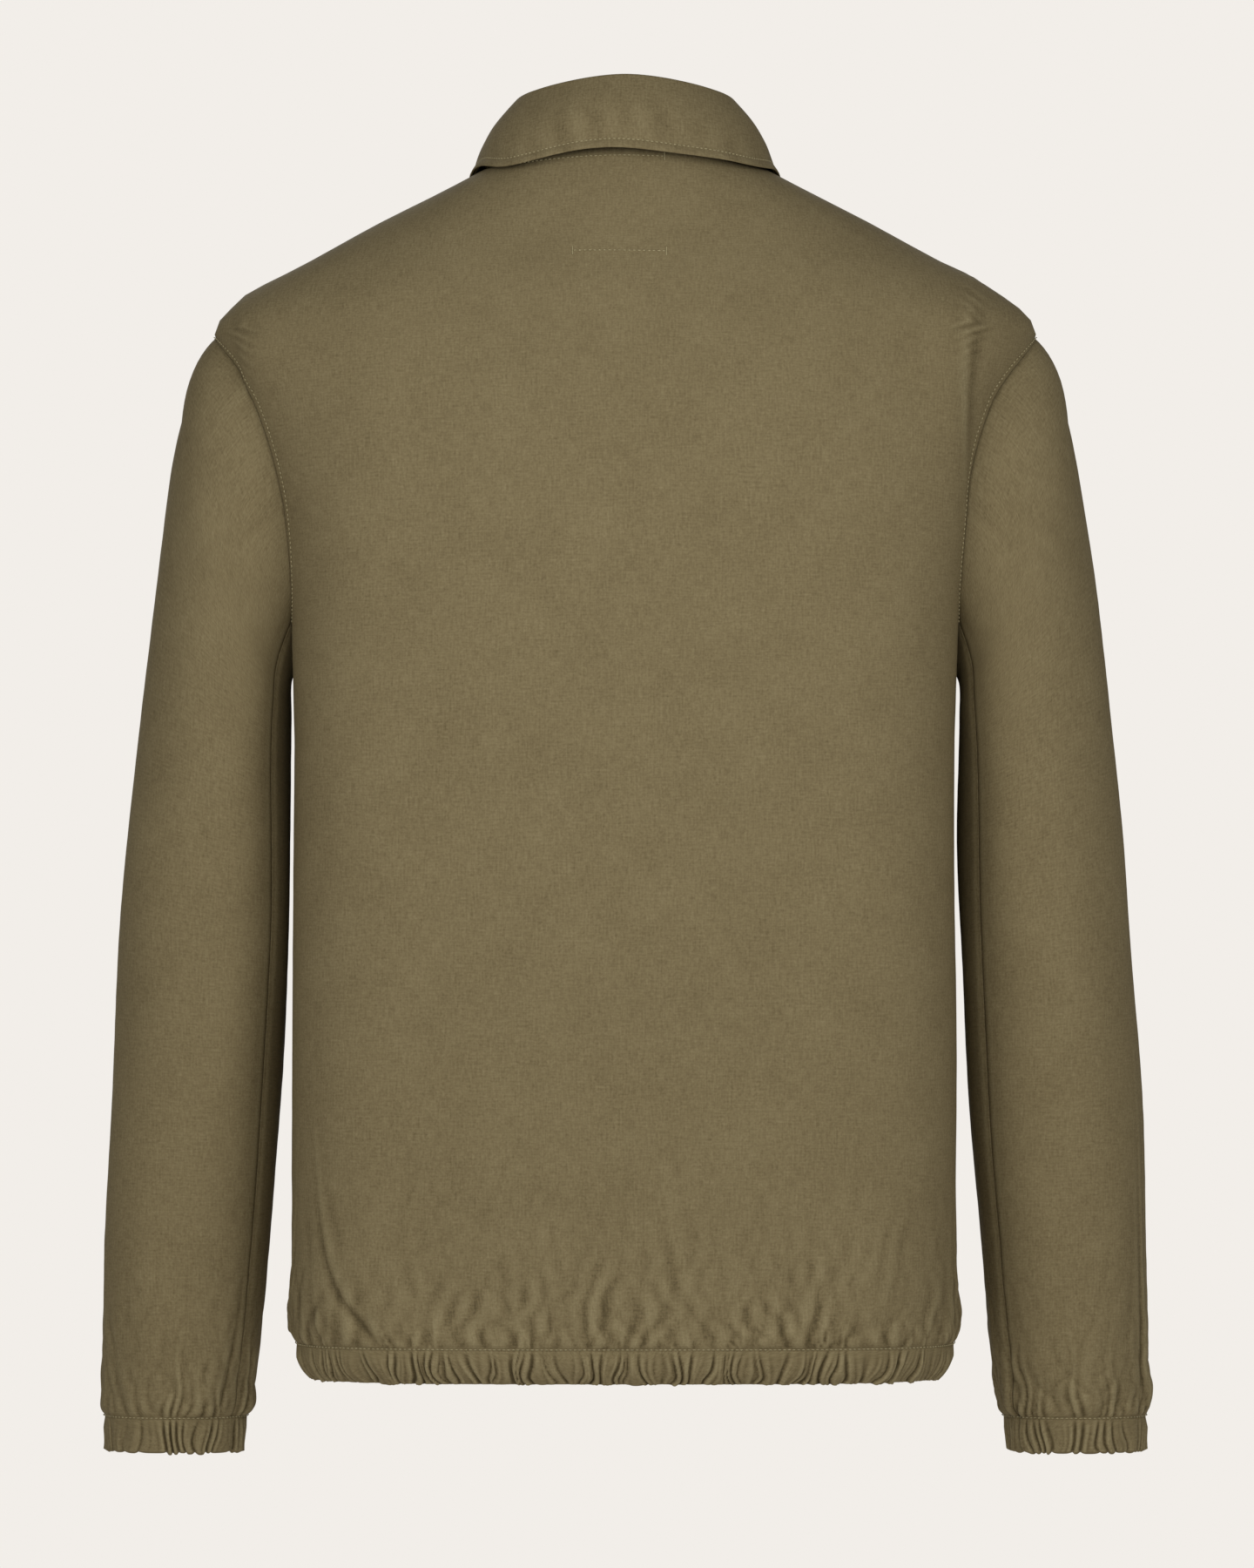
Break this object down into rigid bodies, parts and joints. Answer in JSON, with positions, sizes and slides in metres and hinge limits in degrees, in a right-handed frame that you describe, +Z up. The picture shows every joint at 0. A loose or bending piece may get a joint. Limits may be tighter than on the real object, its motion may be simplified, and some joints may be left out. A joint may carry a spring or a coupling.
{
  "type": "collared jacket",
  "caption": "Light unlined jacket with a turn-down collar, two-piece sleeves, elastic cuffs and hem, and an undone separating front zip.",
  "frame": {"origin": "in the gap of the hanger loop at the back of the neck, where a hook holds the jacket", "axes": "+Z up, the wearer faces -Y, +X to the wearer's left"},
  "size_m": [0.6126, 0.2365, 0.7948],
  "materials": {
    "olive_cotton": "washed plain-weave cotton, matt",
    "elastic_webbing": "woven elastic, matt",
    "interlining": "woven interlining, matt",
    "cotton_tape": "herringbone cotton tape, matt",
    "neck_label": "plain woven label, matt",
    "care_label": "plain satin label, satin",
    "zip_tape": "woven polyester tape, matt",
    "zip_metal": "antique finish on brass, satin",
    "pocket_lining": "cotton pocketing, matt"
  },
  "bodies": {
    "torso": {"back_panel": "olive_cotton", "front_panel_left": "olive_cotton", "front_panel_right": "olive_cotton", "hem_band_back": "olive_cotton", "hem_elastic_back": "elastic_webbing", "collar_fall": "olive_cotton", "collar_interlining": "interlining", "under_collar": "olive_cotton", "collar_stand": "olive_cotton", "neck_tape": "cotton_tape", "neck_label": "neck_label", "hanger_loop": "cotton_tape", "care_label": "care_label", "pocket_welt_left": "olive_cotton", "pocket_welt_right": "olive_cotton", "pocket_bag_left": "pocket_lining", "pocket_bag_right": "pocket_lining"},
    "left_front": {"front_flap_left": "olive_cotton", "hem_band_left": "olive_cotton", "hem_elastic_left": "elastic_webbing", "facing_left": "olive_cotton", "zip_tape_left": "zip_tape", "zip_teeth_left": "zip_metal", "zip_box": "zip_metal", "zip_top_stop_left": "zip_metal"},
    "right_front": {"front_flap_right": "olive_cotton", "hem_band_right": "olive_cotton", "hem_elastic_right": "elastic_webbing", "facing_right": "olive_cotton", "zip_tape_right": "zip_tape", "zip_teeth_right": "zip_metal", "zip_pin": "zip_metal", "zip_top_stop_right": "zip_metal"},
    "left_sleeve": {"upper_sleeve_left": "olive_cotton", "under_sleeve_left": "olive_cotton", "cuff_band_left": "olive_cotton", "cuff_elastic_left": "elastic_webbing"},
    "right_sleeve": {"upper_sleeve_right": "olive_cotton", "under_sleeve_right": "olive_cotton", "cuff_band_right": "olive_cotton", "cuff_elastic_right": "elastic_webbing"},
    "slider": {"zip_slider": "zip_metal"},
    "pull": {"zip_pull": "zip_metal"}
  },
  "joints": [
    {"name": "left_front_open", "type": "hinge", "parent": "torso", "child": "left_front", "pos_m": [0.09888, -0.17921, -0.69107], "axis": [-0.1326, 0.0266, 0.9908], "range_deg": [0, 60]},
    {"name": "right_front_open", "type": "hinge", "parent": "torso", "child": "right_front", "pos_m": [-0.09888, -0.17921, -0.69107], "axis": [-0.1326, -0.0266, -0.9908], "range_deg": [0, 60]},
    {"name": "left_sleeve_raise", "type": "hinge", "parent": "torso", "child": "left_sleeve", "pos_m": [0.239, -0.06112, -0.091], "axis": [0, -1, 0], "range_deg": [0, 45]},
    {"name": "right_sleeve_raise", "type": "hinge", "parent": "torso", "child": "right_sleeve", "pos_m": [-0.239, -0.06112, -0.091], "axis": [0, 1, 0], "range_deg": [0, 45]},
    {"name": "zip_slide", "type": "slide", "parent": "left_front", "child": "slider", "axis": [0, 0.0324, 0.9995], "range_m": [0, 0.5707]},
    {"name": "pull_flip", "type": "hinge", "parent": "slider", "child": "pull", "pos_m": [0.0059, -0.17866, -0.66943], "axis": [-1, 0, 0], "range_deg": [0, 170]}
  ]
}
